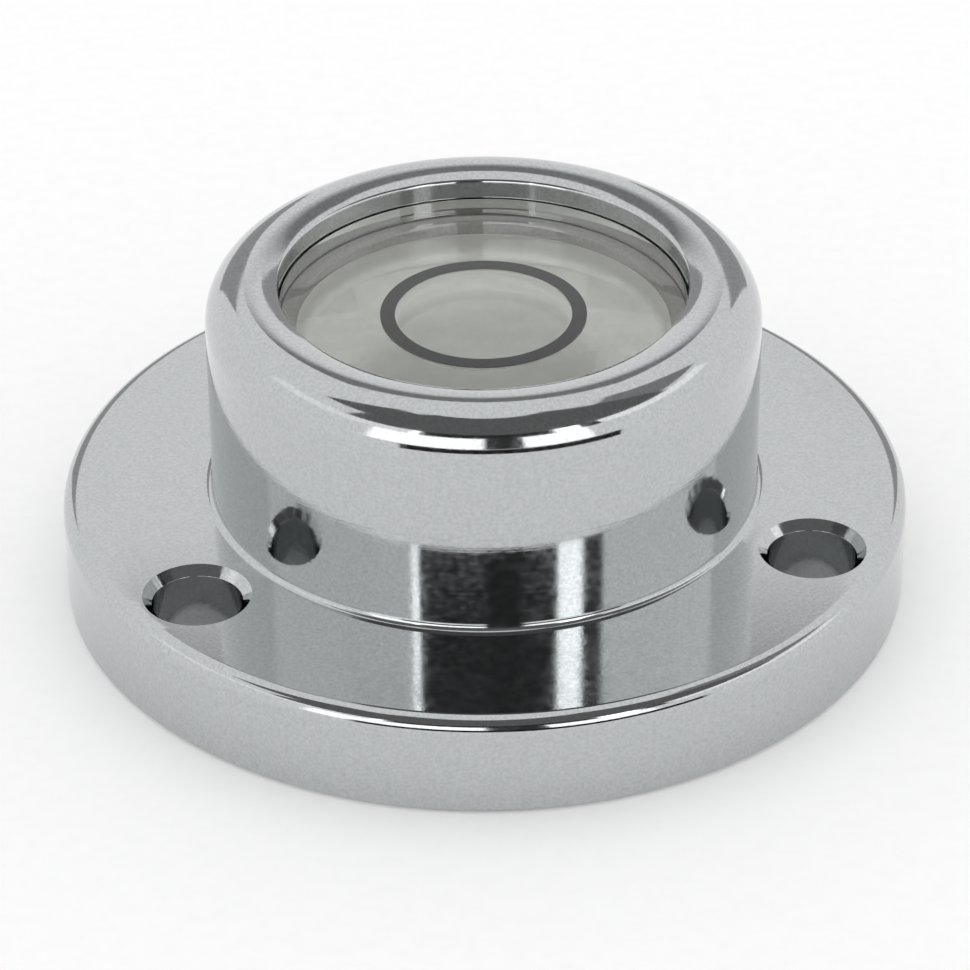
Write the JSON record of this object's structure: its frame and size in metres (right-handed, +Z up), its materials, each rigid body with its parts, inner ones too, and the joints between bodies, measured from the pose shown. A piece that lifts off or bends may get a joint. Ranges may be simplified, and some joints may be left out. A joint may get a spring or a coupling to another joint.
{
  "type": "bullseye level",
  "caption": "Round spirit level under a glass window with a target circle, set in a chrome-plated head with a rounded rim, on a round screw-down flange.",
  "frame": {"origin": "centre of the mounting face, the flat underside of the flange", "axes": "+Z up through the centre of the window; +Y towards one of the screw holes, so that -Y points midway between the two others"},
  "size_m": [0.048, 0.048, 0.0192],
  "materials": {
    "chrome plate": "polished chrome plate on turned brass",
    "lens glass": "polished clear glass",
    "target enamel": "black enamel",
    "seal rubber": "grey-brown rubber",
    "reservoir metal": "fine-turned, matt",
    "clear spirit": "clear liquid",
    "screw brass": "turned brass",
    "washer fibre": "red vulcanised fibre",
    "potting resin": "poured black resin"
  },
  "bodies": {
    "root": {"housing": "chrome plate", "lens": "lens glass", "target_ring": "target enamel", "lens_seal": "seal rubber", "reservoir": "reservoir metal", "spirit": "clear spirit", "filler_screw": "screw brass", "filler_washer": "washer fibre", "potting": "potting resin"}
  },
  "joints": []
}
